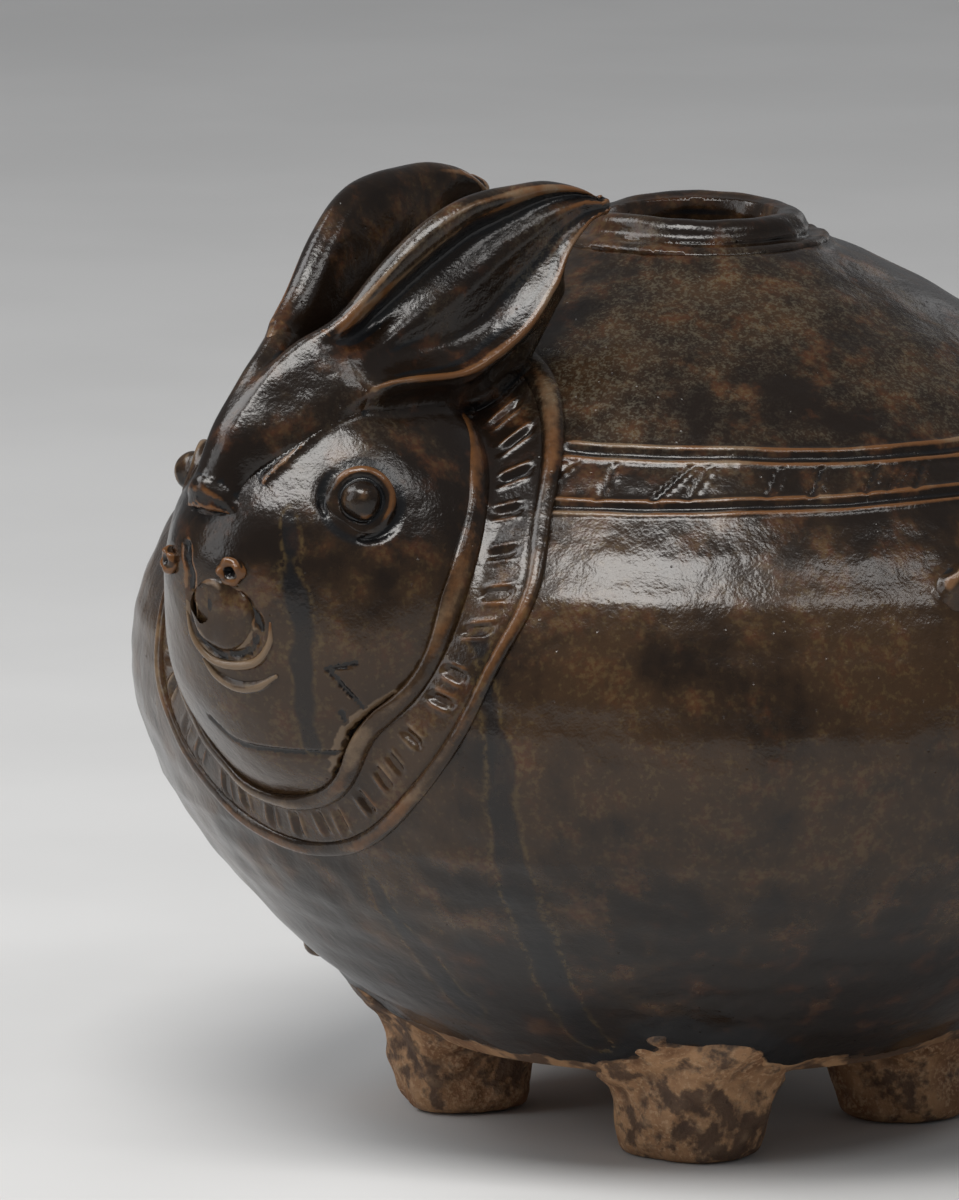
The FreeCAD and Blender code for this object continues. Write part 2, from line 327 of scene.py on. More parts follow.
def harnessMarks(p):
    # two scored lines round the shoulder with short strokes between them, and the burrs they raise
    turn = turnOf(p)
    low, high = harnessLines(turn)
    cut = np.zeros(len(p))
    burr = np.zeros(len(p))
    for line in (low, high):
        away = np.abs(p[:, 2] - line)
        cut = np.maximum(cut, np.exp(-((away / harness["width"]) ** 2)))
        burr = np.maximum(burr, np.exp(-(((away - harness["burrAway"]) / harness["burrWidth"]) ** 2)))
    chance = np.random.default_rng(11)
    around = np.radians(turn) * np.hypot(p[:, 0], p[:, 1])
    tick = -180.0
    while tick < 180:
        tick += harness["tickStep"] * chance.uniform(0.5, 1.6)
        place = math.radians(tick) * harness["radius"]
        slant = chance.uniform(-harness["tickSlant"], harness["tickSlant"])
        reach = easing(p[:, 2], low + 0.6, low + 1.6) * (1 - easing(p[:, 2], high - 2.2, high - 0.8))
        away = np.abs(around - place - slant * (p[:, 2] - 120))
        stroke = np.exp(-((away / harness["tickWidth"]) ** 2)) * reach * chance.uniform(0.3, 1)
        cut = np.maximum(cut, stroke * harness["tickDepth"] / harness["depth"])
        ridge = np.exp(-(((away - harness["tickBurrAway"]) / harness["burrWidth"]) ** 2))
        burr = np.maximum(burr, ridge * reach * harness["tickBurr"])
    ends = easing(np.abs(turn), harness["starts"], harness["starts"] + harness["fadesIn"])
    return cut * ends, burr * ends * (1 - cut)


# The head and what is luted to it

head = dict(
    centre=spot(78.2, 0, 98.2), half=np.array([31.2, 32.7, 36.1]),
    crown=spot(83, 0, 119), crownHalf=np.array([15.0, 19.0, 18.0]),
    snout=spot(96, 0, 107), snoutHalf=np.array([14.5, 17.0, 17.0]),
    snoutSoft=9.0, crownSoft=7.0, ontoBody=3.0, unevenness=0.35,
)
eye = dict(
    centre=spot(95.2, 20.2, 118.3), look=spot(0.62, 0.70, 0.22), ringRadius=4.55, strip=1.15,
    pellet=3.4, proud=0.5, groove=6.5, grooveWidth=0.9, grooveDepth=1.0,
)
nose = dict(
    centre=(4.2, 99.5), half=(6.4, 7.0), proud=0.9, fades=(100, 107), grain=0.2, edge=0.5, edgeRound=1.6,
    grooveWidth=0.7, grooveDepth=1.7,
    nostril=spot(111.8, 6.9, 107.0), nostrilRing=1.35, nostrilStrip=1.05, nostrilDepth=1.2, nostrilPit=1.3,
)
collar = dict(
    middle=97.0, inner=31.2, outer=40.4, wobble=0.5,
    # swell in millimetres, then its place round the strap and its width in degrees
    jawTuck=(3.4, -40, 19), sideSwell=(2.0, 8, 12), lowerTuck=(1.4, -46, 22),
)
cuts = dict(
    behind=-76, mouth=(0.55, 0.9), scratch=(0.4, 0.5),
    crackDepth=1.5, crackWidth=0.6, crackInside=1.0, crackFrom=(-64, -58), crackTo=(-14, -8),
)


def headShape(p):
    lump = ball(p, head["centre"], head["half"])
    crown = ball(p, head["crown"], head["crownHalf"])
    return meld(lump, crown, head["crownSoft"]) + head["unevenness"] * lumps(p, 17, 3)


def snoutShape(p):
    return ball(p, head["snout"], head["snoutHalf"]) + 0.25 * lumps(p, 9, 4)


def faceShape(p):
    return meld(headShape(p), snoutShape(p), head["snoutSoft"])


def faceLine(*rows):
    # left and height pairs pressed onto the front of the face
    start = np.array([spot(118, left, height) for left, height in rows])
    for i in range(60):
        start[:, 1] += np.maximum(faceShape(start), 0) * 0.7
    return flowing(start, 5)


def noseOutline(p):
    # rounded tongue seen from the front, in millimetres from its edge
    left = (p[:, 0] - nose["centre"][0]) / nose["half"][0]
    up = (p[:, 2] - nose["centre"][1]) / nose["half"][1]
    return (np.hypot(left, up) - 1) * min(nose["half"])


def swellAt(turn, rise, place, width):
    return rise * np.exp(-(((turn - place) / width) ** 2))


def collarInner(turn):
    wander = collar["wobble"] * np.sin(np.radians(turn * 3))
    return collar["inner"] - swellAt(turn, *collar["jawTuck"]) + wander


def collarOuter(turn):
    return collar["outer"] + swellAt(turn, *collar["sideSwell"]) - swellAt(turn, *collar["lowerTuck"])


def collarPlace(turn, radius):
    return radius * np.cos(np.radians(turn)), collar["middle"] + radius * np.sin(np.radians(turn))


mouthLine = faceLine((-6.5, 79.6), (-1.5, 76.3), (6.5, 75.6), (13, 75.6), (17.8, 75.8))
scratches = [
    faceLine((20.6, 90.2), (22.6, 84.0)),
    faceLine((20.0, 91.0), (23.4, 92.0)),
    faceLine((20.2, 83.5), (20.0, 80.4)),
]
lobeLine = faceLine((-2.4, 110.0), (-1.2, 105.5), (-1.5, 101), (-1.8, 97), (-0.2, 93.8), (3.0, 92.4),
                    (6.6, 92.5), (9.4, 94.2), (10.9, 97), (10.8, 99.6), (9.4, 101.4), (8.2, 102.6))


def scored(p, line, width, depth):
    away = chain(p, line, np.zeros(len(line)), 2.5)
    return depth * np.exp(-((away / width) ** 2))


def faceMarks(p):
    # everything pressed or cut into the face
    cut = np.zeros(len(p))
    front = np.flatnonzero(p[:, 1] < cuts["behind"])
    q = p[front]
    ragged = 0.75 + 0.45 * lumps(q, 3, 21)
    some = scored(q, mouthLine, *cuts["mouth"])
    # the crack at the jaw follows the strap's inner edge
    turn = np.degrees(np.arctan2(q[:, 2] - collar["middle"], q[:, 0]))
    inner = np.hypot(q[:, 0], q[:, 2] - collar["middle"]) - collarInner(turn) + cuts["crackInside"]
    crack = cuts["crackDepth"] * np.exp(-((inner / cuts["crackWidth"]) ** 2)) * ragged
    some += crack * easing(turn, *cuts["crackFrom"]) * (1 - easing(turn, *cuts["crackTo"]))
    some += scored(q, lobeLine, nose["grooveWidth"], nose["grooveDepth"]) * np.clip(ragged, 0.3, 1.3)
    for line in scratches:
        some += scored(q, line, *cuts["scratch"])
    folded = q * np.array([0, 1, 1]) + np.abs(q) * np.array([1, 0, 0])
    look = eye["look"] / np.linalg.norm(eye["look"])
    groove = ring(folded, eye["centre"], look, eye["groove"], 0)
    some += eye["grooveDepth"] * np.exp(-((groove / eye["grooveWidth"]) ** 2))
    pit = np.linalg.norm(folded - nose["nostril"], axis=1)
    some += nose["nostrilDepth"] * np.exp(-((pit / nose["nostrilPit"]) ** 2))
    cut[front] = some
    return cut


def headClay(p):
    return headShape(p) + faceMarks(p)


def snoutClay(p):
    return snoutShape(p) + faceMarks(p)


def lobeClay(p):
    raised = faceShape(p) - nose["proud"] * (1 - easing(p[:, 2], *nose["fades"]))
    return carve(raised - nose["grain"] * lumps(p, 4, 31), noseOutline(p) + nose["edge"], nose["edgeRound"])


# The ears: each starts as a thick stem on the nose bridge and opens into a cupped leaf

ear = dict(
    root=spot(110.5, 1.2, 118.0), tip=spot(37.0, 16.5, 161.5),
    upper=spots((112.5, 1.0, 122), (107.5, 1.5, 131), (100.5, 2.0, 138.5), (94.8, 3.2, 142.9),
                (87.8, 6.9, 147.4), (77.6, 11.0, 157.9), (68.6, 13.7, 164.0), (60.7, 14.9, 165.9),
                (49.8, 15.5, 166.4), (41.8, 15.8, 165.0), (36.5, 16.0, 162.4)),
    lower=spots((110.5, 2.5, 116), (105.0, 6.0, 121.4), (100.4, 9.0, 125.5), (93.8, 12.0, 129.6),
                (89.4, 14.0, 132.8), (83.0, 15.8, 135.4), (69.1, 17.4, 135.2), (61.8, 18.2, 137.6),
                (55.3, 18.8, 141.6), (49.4, 18.8, 148.0), (45.2, 18.2, 154.3), (39.5, 17.2, 158.8)),
    blade=3.7, stem=8.0, stemEnds=(24.0, 44.0), rounding=1.8,
    hollowStarts=(27.0, 41.0), hollowEnds=(62.0, 88.0), hollowLoss=0.75,
    # across the leaf from the upper rim to the lower: rolled rim, deep crease, low ridge, wide dish, rim
    dish=[(0, 0), (0.08, 0.4), (0.16, -0.6), (0.25, -4.2), (0.33, -4.6), (0.44, -3.0), (0.52, -2.6),
          (0.62, -3.4), (0.74, -3.9), (0.85, -2.4), (0.93, 0), (1, 0)],
    backBulge=4.6,
    parting=31.0, lap=4.5, slant=0.2, ontoHead=2.2, ontoBody=2.6, keelSoft=4.0,
    keel=spots((84, 8.5, 133.5), (71, 9.5, 133.5), (60, 9.2, 134.0), (54, 11.0, 138.0), (47.5, 14.8, 148.0)),
    keelRadii=(5.0, 5.6, 5.4, 4.4, 2.4),
)
ear["run"] = ear["tip"] - ear["root"]
ear["length"] = np.linalg.norm(ear["run"])
ear["run"] /= ear["length"]


def earRim(points):
    # a rim curve as places along the ear and offsets across it
    line = flowing(points) - ear["root"]
    along = line @ ear["run"]
    order = np.argsort(along)
    return along[order], (line - along[:, None] * ear["run"])[order]


upperRim, lowerRim = earRim(ear["upper"]), earRim(ear["lower"])
dish = flowing(np.array(ear["dish"]), 6)


def leaf(p):
    # distance to the leaf, how far along it, and how far across
    local = p - ear["root"]
    along = local @ ear["run"]
    near = np.clip(along, 0, ear["length"])
    top = np.stack([np.interp(near, upperRim[0], upperRim[1][:, i]) for i in range(3)], 1)
    low = np.stack([np.interp(near, lowerRim[0], lowerRim[1][:, i]) for i in range(3)], 1)
    width = np.maximum(np.linalg.norm(low - top, axis=1), 0.5)
    across = (low - top) / width[:, None]
    face = np.cross(across, ear["run"])
    inside = local - along[:, None] * ear["run"] - top
    over = (inside * across).sum(1)
    proud = (inside * face).sum(1)
    u = np.clip(over / width, 0, 1)
    opened = easing(near, *ear["hollowStarts"]) * (1 - ear["hollowLoss"] * easing(near, *ear["hollowEnds"]))
    cup = np.interp(u, dish[:, 0], dish[:, 1]) * opened + (1 - opened) * (1 - np.abs(2 * u - 1) ** 2)
    back = ear["backBulge"] * opened * (1 - np.abs(2 * u - 1) ** 2.2)
    thick = cup + back + ear["blade"] + ear["stem"] * u * (1 - easing(near, *ear["stemEnds"]))
    proud = proud - cup
    soft = np.minimum(ear["rounding"], width / 2)
    side = np.abs(over - width / 2) - width / 2 + soft
    front = np.abs(proud + thick / 2) - thick / 2 + soft
    away = np.sqrt(np.maximum(side, 0) ** 2 + np.maximum(front, 0) ** 2 + (along - near) ** 2)
    return away + np.minimum(np.maximum(side, front), 0) - soft + 0.12 * lumps(p, 9, 41), along


def earClay(p):
    value, along = leaf(p)
    short = ear["parting"] - along
    value = meld(value, chain(p, ear["keel"], ear["keelRadii"]), ear["keelSoft"])
    return np.maximum(value + ear["slant"] * np.maximum(short, 0), short - ear["lap"])


def earRightClay(p):
    return earClay(mirrored(p) + np.array([0, 0.6, -0.4]))


def crestClay(p):
    sides = []
    for q in (p, mirrored(p)):
        value, along = leaf(q)
        extra = along - ear["parting"]
        sides.append(np.maximum(value + ear["slant"] * np.maximum(extra, 0), extra - ear["lap"]))
    return meld(sides[0], sides[1], 2.5)


def earsAndCrest(p):
    # far below the ears this is only a rough distance
    value = np.linalg.norm(p - spot(70, 0, 145), axis=1) - 20
    near = np.flatnonzero((p[:, 2] > 108) & (np.abs(p[:, 0]) < 34) & (p[:, 1] < -22))
    q = p[near]
    if len(near):
        value[near] = np.minimum(np.minimum(earClay(q), earRightClay(q)), crestClay(q))
    return value


# Mouth rim, feet and trim

rim = dict(
    throat=13.0, throatGap=0.15, throatRound=1.2, neck=16.7,
    lip=16.5, lipSquash=1.12, lipThick=1.95, lipHeight=153.8,
    step=22.6, stepTop=151.3, stepRound=1.8, stepSoft=2.4, low=143.2, sway=0.45, soft=1.6, grain=0.08,
    ontoBody=2.4,
)
feet = dict(
    left=28.6, front=27.1, rear=-23.2, sole=11.8, flare=0.0125, soleRounding=4.2, ontoBody=6.0, sunk=3.5,
    dents=0.8, dentSize=15.0, grain=0.22, grainSize=4.5, oval=0.5, sideSlope=0.94, top=34,
)
lugTurn = 77
trim = dict(
    lug=onBody(lugTurn, 103.0), lugHalf=np.array([3.9, 5.2, 4.2]), lugOnto=2.2,
    tailRoot=onBody(180, 97.0, 0.5), tailTip=onBody(180, 73.0, 1.0), tailRadii=(5.2, 2.9), tailOnto=3.0,
    drip=onBody(-43, 28.5), dripRadius=2.4, dripOnto=1.3,
)


def rimClay(p):
    turn = np.radians(turnOf(p))
    out = np.hypot(p[:, 0], p[:, 1]) * (1 + 0.010 * np.sin(2 * turn + 1) + 0.006 * np.sin(5 * turn))
    up = p[:, 2] - rim["sway"] * np.sin(2 * turn + 0.5) - 0.25 * np.sin(3 * turn + 2)
    lip = np.hypot((out - rim["lip"]) / rim["lipSquash"], up - rim["lipHeight"]) - rim["lipThick"]
    neck = np.maximum(out - rim["neck"], up - rim["lipHeight"])
    step = carve(out - rim["step"], up - rim["stepTop"], rim["stepRound"])
    shape = meld(meld(lip, neck, rim["soft"]), step, rim["stepSoft"])
    shape = carve(shape, rim["throat"] + rim["throatGap"] - out, rim["throatRound"])
    return np.maximum(shape, rim["low"] - p[:, 2]) + rim["grain"] * lumps(p, 6, 51)


def footClay(forward, left, seed):
    centre = spot(forward, left, 0)

    def field(p):
        q = p - centre
        turn = np.arctan2(q[:, 1], q[:, 0])
        width = feet["sole"] + feet["flare"] * q[:, 2] ** 2 + feet["oval"] * np.sin(2 * turn + seed)
        side = (np.hypot(q[:, 0], q[:, 1]) - width) * feet["sideSlope"]
        side = side + feet["dents"] * lumps(p, feet["dentSize"], 60 + seed)
        side = side + feet["grain"] * lumps(p, feet["grainSize"], 70 + seed)
        shape = carve(side, -q[:, 2], feet["soleRounding"])
        return np.maximum(np.maximum(shape, -q[:, 2]), q[:, 2] - feet["top"])
    return field


feetClay = {}
for end in ("front", "rear"):
    for side, sign in (("left", 1), ("right", -1)):
        feetClay["leg_" + end + "_" + side] = footClay(feet[end], sign * feet["left"], len(feetClay) * 2 + 1)


def allFeet(p):
    return np.minimum.reduce([foot(p) for foot in feetClay.values()])


def lugClay(p):
    q = mirrored(p) if p[:, 0].mean() < 0 else p
    angle = math.radians(lugTurn)
    out = np.array([math.sin(angle), -math.cos(angle), 0])
    side = np.array([math.cos(angle), math.sin(angle), 0])
    local = q - trim["lug"]
    shape = ball(np.stack([local @ out, local @ side, local[:, 2]], 1), np.zeros(3), trim["lugHalf"])
    return shape + 0.35 * lumps(p, 5, 81)


def tailClay(p):
    return rod(p, trim["tailRoot"], trim["tailTip"], *trim["tailRadii"]) + 0.3 * lumps(p, 8, 82)


def dripClay(p):
    return ball(p, trim["drip"], np.full(3, trim["dripRadius"])) + 0.15 * lumps(p, 3, 83)


# Glaze: where it runs thin, pools or trickles is worked out at every point

flow = dict(
    reach=0.9, thin=(0.32, 1.15), pool=(0.12, 0.6), eyePool=0.9,
    runs=[
        [onBody(turn, z) for turn, z in ((23.8, 95.5), (26.8, 75.5), (26.7, 59), (27.5, 39), (28.8, 22))],
        [onBody(turn, z) for turn, z in ((7.9, 52), (8.7, 39), (9.0, 26.8))],
    ],
    runWidths=[(1.0, 1.9, 2.3, 2.6, 2.2), (0.7, 1.6, 2.4)], runSoft=2.2,
)
flow["runs"].append(list(faceLine((13.3, 115.6), (15.6, 107), (17.3, 95.5), (15.5, 86), (14, 77))))
flow["runWidths"].append(np.interp(np.linspace(0, 1, len(flow["runs"][2])), [0, 0.5, 1], [0.6, 1.6, 1.0]))


def surfaceMasks(p):
    # trickles, and the speckled ash on the shoulder, wherever the clay is
    trickle = np.zeros(len(p))
    for line, widths in zip(flow["runs"], flow["runWidths"]):
        away = chain(p, line, widths) + 0.5 * lumps(p, 7, 91)
        trickle = np.maximum(trickle, 1 - easing(away, -1.2, flow["runSoft"]))
    turn = turnOf(p)
    ash = easing(p[:, 2], 112, 132) * easing(turn, -10, 30) * (1 - easing(turn, 110, 150))
    return dict(trickle=trickle, ash=ash)


def glazeMasks(p, fused):
    here = -6 * fused(p)
    for axis in np.eye(3):
        here += fused(p + axis * flow["reach"]) + fused(p - axis * flow["reach"])
    bend = here / flow["reach"] ** 2
    pool = easing(-bend, *flow["pool"])
    for side in (1, -1):
        away = np.linalg.norm(p - eye["centre"] * (side, 1, 1), axis=1)
        pool = np.maximum(pool, flow["eyePool"] * np.exp(-(((away - eye["groove"] - 0.3) / 1.1) ** 2)))
    return dict(thin=easing(bend, *flow["thin"]), pool=pool, **surfaceMasks(p))


# Materials

class Wire:
    # one socket of a material, for sums on the spot
    def __init__(self, paint, socket):
        self.paint, self.socket = paint, socket

    def maths(self, operation, first, second=0.0):
        return self.paint.node("Math", dict(operation=operation), {0: first, 1: second})

    def __add__(self, other):
        return self.maths("ADD", self, other)

    def __sub__(self, other):
        return self.maths("SUBTRACT", self, other)

    def __rsub__(self, other):
        return self.maths("SUBTRACT", other, self)

    def __mul__(self, other):
        return self.maths("MULTIPLY", self, other)

    def between(self, low, high):
        # 0 below low, 1 above high, eased in the middle
        sockets = {"Value": self, "From Min": low, "From Max": high, "To Min": 0.0, "To Max": 1.0}
        return self.paint.node("MapRange", dict(interpolation_type="SMOOTHSTEP"), sockets)

    __radd__ = __add__
    __rmul__ = __mul__


class Paint:
    def __init__(self, name):
        self.material = bpy.data.materials.new(name)
        self.material.use_nodes = True
        self.tree = self.material.node_tree
        self.tree.nodes.clear()
        self.place = self.node("TexCoord", {}, {}, "Object")

    def node(self, kind, settings, sockets, output=0):
        made = self.tree.nodes.new("ShaderNode" + kind)
        for key, value in settings.items():
            setattr(made, key, value)
        for key, value in sockets.items():
            if isinstance(value, Wire):
                self.tree.links.new(value.socket, made.inputs[key])
            else:
                made.inputs[key].default_value = value
        return None if output is None else Wire(self, made.outputs[output])

    def scaled(self, size):
        # the place on the piece, in steps of this many millimetres
        return self.node("Mapping", {}, {"Vector": self.place, "Scale": (1000 / size,) * 3})

    def noise(self, size, detail, roughness, warp=0.0):
        sockets = {"Vector": self.scaled(size), "Scale": 1.0, "Detail": detail}
        return self.node("TexNoise", {}, {**sockets, "Roughness": roughness, "Distortion": warp})

    def cells(self, size):
        return self.node("TexVoronoi", dict(feature="F1"), {"Vector": self.scaled(size), "Scale": 1.0})

    def height(self):
        # millimetres above the floor
        return self.node("SeparateXYZ", {}, {"Vector": self.place}, 2) * 1000

    def mask(self, name):
        return self.node("Attribute", dict(attribute_name=name), {}, "Fac")

    def mix(self, share, first, second):
        # two colours, the second one by its share
        sockets = {0: share}
        for index, value in ((6, first), (7, second)):
            sockets[index] = value if isinstance(value, Wire) else (*value, 1)
        return self.node("Mix", dict(data_type="RGBA"), sockets, 2)

    def finish(self, colour, roughness, height, deep, constants):
        bump = self.node("Bump", {}, {"Height": height, "Distance": deep, "Strength": 1.0})
        sockets = {"Base Color": colour, "Roughness": roughness, "Normal": bump, **constants}
        shader = self.node("BsdfPrincipled", {}, sockets)
        self.node("OutputMaterial", {}, {"Surface": shader}, None)
        return self.material


glazeLook = dict(
    deep=(0.009, 0.0052, 0.0032), brown=(0.043, 0.023, 0.0105), red=(0.078, 0.024, 0.008),
    olive=(0.095, 0.064, 0.026), bare=(0.15, 0.064, 0.022), worn=(0.20, 0.135, 0.082),
    pooled=(0.0058, 0.0068, 0.0082), dust=(0.085, 0.074, 0.050),
    gloss=0.15, dull=0.32, ior=1.44, relief=0.0004,
)
clayLook = dict(
    buff=(0.46, 0.26, 0.13), tan=(0.20, 0.090, 0.038), scorched=(0.048, 0.024, 0.016),
    pale=(0.62, 0.41, 0.24), wash=(0.040, 0.022, 0.013), dull=0.62, ior=1.48, relief=0.0007,
)


def clayColour(p, clouds, blotches, grain):
    # buff clay, scorched and stained in patches
    colour = p.mix(clouds.between(0.38, 0.60), clayLook["tan"], clayLook["buff"])
    colour = p.mix((grain * 0.6 + blotches * 0.4).between(0.47, 0.60) * 0.55, colour, clayLook["pale"])
    burnt = (blotches * 0.5 + clouds * 0.5).between(0.485, 0.56)
    return p.mix(burnt * 0.85, colour, clayLook["scorched"])


def glazePaint():
    p = Paint("glaze")
    thin, pool, trickle, ash, bare = (p.mask(name) for name in ("thin", "pool", "trickle", "ash", "bare"))
    clouds = p.noise(26, 4, 0.6, warp=0.4)
    blotches = p.noise(7, 4, 0.6)
    grain = p.noise(1.1, 3, 0.6)
    fine = p.noise(0.45, 2, 0.5)
    up = p.height()
    # a patchy brown over the dark glaze, with less of it on the shoulder; less of it low down paints the shade
    # under the belly
    light = clouds * 0.7 + blotches * 0.3 + (up + (clouds - 0.5) * 30).between(25, 66) * 0.2 - 0.18
    light = (light - (up + (clouds - 0.5) * 40).between(92, 124) * 0.12).between(0.34, 0.60)
    colour = p.mix(light, glazeLook["deep"], glazeLook["brown"])
    colour = p.mix(blotches.between(0.50, 0.74) * 0.55, colour, glazeLook["red"])
    speck = (grain * 0.6 + blotches * 0.4).between(0.50, 0.64)
    colour = p.mix(speck * 0.5 * light, colour, glazeLook["olive"])
    # edges where the glaze runs thin, and hollows where it pools
    edge = (thin + (blotches - 0.5) * 0.9 + (grain - 0.5) * 0.4).between(0.3, 0.95)
    colour = p.mix(edge * 0.8, colour, p.mix(clouds.between(0.46, 0.58), glazeLook["bare"], glazeLook["worn"]))
    wet = (pool + (blotches - 0.5) * 0.35).between(0.25, 0.85)
    colour = p.mix(wet * 0.85, colour, glazeLook["pooled"])
    # dark runs with an olive fringe, and dusty ash on the shoulder
    ragged = trickle + (blotches - 0.5) * 0.9
    streak = ragged.between(0.35, 0.8)
    fringe = ragged.between(0.05, 0.35) * (1 - streak) * grain.between(0.4, 0.6)
    colour = p.mix(fringe * 0.5, colour, glazeLook["olive"])
    colour = p.mix(streak * 0.7, colour, glazeLook["pooled"])
    dust = (grain * 0.5 + fine * 0.5).between(0.46, 0.62) * clouds.between(0.42, 0.62) * ash
    colour = p.mix(dust * 0.5, colour, glazeLook["dust"])
    roughness = glazeLook["gloss"] + blotches * 0.10 + dust * (glazeLook["dull"] - glazeLook["gloss"])
    pits = 1 - p.cells(3.4).between(0.0, 0.10)
    height = blotches * 0.35 + p.noise(2.6, 2, 0.5) * 0.35 + fine * 0.10 - pits * 0.25
    # the glaze stops short of the feet in a ragged line
    climb = (up + (clouds - 0.5) * 6).between(15.5, 19.5)
    ended = (bare * 0.8 + 1 - climb + (blotches - 0.5) * 1.2).between(0.42, 0.62)
    colour = p.mix(ended, colour, clayColour(p, clouds, blotches, grain))
    roughness = roughness + ended * (clayLook["dull"] - glazeLook["gloss"])
    return p.finish(colour, roughness, height, glazeLook["relief"], {"IOR": glazeLook["ior"]})


def clayPaint():
    p = Paint("bare_clay")
    thin, pool = p.mask("thin"), p.mask("pool")
    clouds = p.noise(17, 4, 0.6, warp=0.5)
    blotches = p.noise(5, 5, 0.62)
    grain = p.noise(0.8, 3, 0.6)
    up = p.height()
    colour = clayColour(p, clouds, blotches, grain)
    splash = (up + (clouds - 0.5) * 26 + (blotches - 0.5) * 14).between(20, 25)
    colour = p.mix(splash * 0.9, colour, clayLook["wash"])
    # darker in the hollows and paler on the ridges of the bare clay
    colour = p.mix(pool * 0.5, colour, clayLook["scorched"])
    colour = p.mix(thin * 0.25, colour, clayLook["pale"])
    roughness = clayLook["dull"] + grain * 0.15 - splash * 0.42
    height = blotches * 0.5 + grain * 0.5 + p.cells(4).between(0.0, 0.12) * 0.3
    return p.finish(colour, roughness, height, clayLook["relief"], {"IOR": clayLook["ior"]})


materials = dict(glaze=glazePaint(), bare_clay=clayPaint())
print("materials ready")


# The thrown body

def bodySwell(p):
    # what the clay round each luted piece adds to the body
    total = np.zeros(len(p))
    joins = [
        (faceShape, head["ontoBody"]), (allFeet, feet["ontoBody"]), (rimClay, rim["ontoBody"]),
        (earsAndCrest, ear["ontoBody"]), (lugsClay, trim["lugOnto"]), (tailClay, trim["tailOnto"]),
        (dripClay, trim["dripOnto"]),
    ]
    for other, soft in joins:
        near = other(p)
        total += soft / 4 * np.clip(1 - np.abs(near) / soft, 0, 1) ** 2
    return total


def lugsClay(p):
    folded = np.abs(p[:, :1])
    return lugClay(np.concatenate([folded, p[:, 1:]], 1))


def wholeBody():
    # heights of the rows, then every point with its relief
    heights = [body["base"]]
    while True:
        radius, slope = bodyAt(np.array(heights[-1]))
        if radius < body["mouthSeat"] + 0.3:
            break
        fine = harness["low"] - body["fineBelow"] < heights[-1] < harness["high"] + body["fineAbove"]
        heights.append(heights[-1] + (body["fineStep"] if fine else body["rowStep"]) / math.hypot(1, slope))
    heights = np.array(heights)
    near = np.argmin(np.abs(heights - seam))
    heights[near] = seam
    turns = np.linspace(-180, 180, body["columns"], endpoint=False)
    turn, z = np.meshgrid(turns, heights)
    slope = bodyAt(z)[1]
    p = onBody(turn, z).reshape(-1, 3)
    cut, burr = harnessMarks(p)
    relief = body["waviness"] * lumps(p, 34, 1) + body["dimples"] * lumps(p, 9, 2)
    relief += body["throwing"] * np.sin(p[:, 2] * 1.1 + np.radians(turnOf(p)))
    relief += body["seamRidge"] * np.exp(-(((p[:, 2] - seam) / body["seamWidth"]) ** 2))
    for height, rise, wide in body["rings"]:
        away = p[:, 2] - height - 0.5 * np.sin(np.radians(turnOf(p) * 2 + height))
        relief += rise * np.exp(-((away / wide) ** 2))
    swell = bodySwell(p)
    footing = easing(1.5 - allFeet(p), 0, 2.5)
    relief += swell + burr * harness["burr"] - cut * harness["depth"]
    relief *= easing(p[:, 2], body["base"], body["base"] + 1) * (1 - easing(p[:, 2], *body["reliefEnds"]))
    out = unit(np.stack([p[:, 0], p[:, 1], -slope.ravel() * np.hypot(p[:, 0], p[:, 1])], 1))
    p = p + out * relief[:, None]
    p[:, 2] = np.where(z.ravel() > body["reliefEnds"][0], np.minimum(p[:, 2], body["mouthFlat"]), p[:, 2])
    grid = p.reshape(*z.shape, 3)
    along = np.gradient(grid, axis=0)
    around = np.roll(grid, -1, 1) - np.roll(grid, 1, 1)
    normals = unit(np.cross(around, along))
    pool = np.maximum(easing(cut, 0.2, 0.8) * 0.7, easing(swell, 0.12, 0.6) * 0.8)
    masks = dict(bare=footing, thin=easing(burr, 0.25, 0.9), pool=pool, **surfaceMasks(p))
    return grid, normals, {key: value.reshape(z.shape) for key, value in masks.items()}, near


def lathePiece(name, outer, normals, masks, inside, capped):
    # the outer rows, then rings inside as radius and height, back to the first row or to a centre
    columns = outer.shape[1]
    turns = np.linspace(-180, 180, columns, endpoint=False)
    angle = np.radians(turns)
    rows = [*outer]
    for radius, z in inside:
        rows.append(np.stack([radius * np.sin(angle), -radius * np.cos(angle), np.full(columns, float(z))], 1))
    rows = np.array(rows)
    around = np.roll(rows, -1, 1) - np.roll(rows, 1, 1)
    facing = unit(np.cross(around, np.gradient(rows, axis=0)))
    facing[:len(outer)] = normals
    points, ways = rows.reshape(-1, 3), facing.reshape(-1, 3)
    count = len(rows)
    here = np.arange(count if not capped else count - 1)
    a = here[:, None] * columns + np.arange(columns)
    b = here[:, None] * columns + (np.arange(columns) + 1) % columns
    c, d = (b + columns) % (count * columns), (a + columns) % (count * columns)
    faces = np.stack([a, b, c, d], -1).reshape(-1, 4).tolist()
    if capped:
        for row, height, up in ((0, outer[0, 0, 2], -1), (count - 1, inside[-1][1], 1)):
            ends = row * columns + np.arange(columns)
            pairs = np.stack([np.full(columns, len(points)), np.roll(ends, up), ends], 1)
            faces += pairs.tolist()
            points = np.vstack([points, [0, 0, height]])
            ways = np.vstack([ways, [0, 0, up]])
    full = {}
    for key, values in masks.items():
        full[key] = np.zeros(len(points))
        full[key][:values.size] = values.ravel()
    makePiece(name, points, faces, ways, full, "glaze")


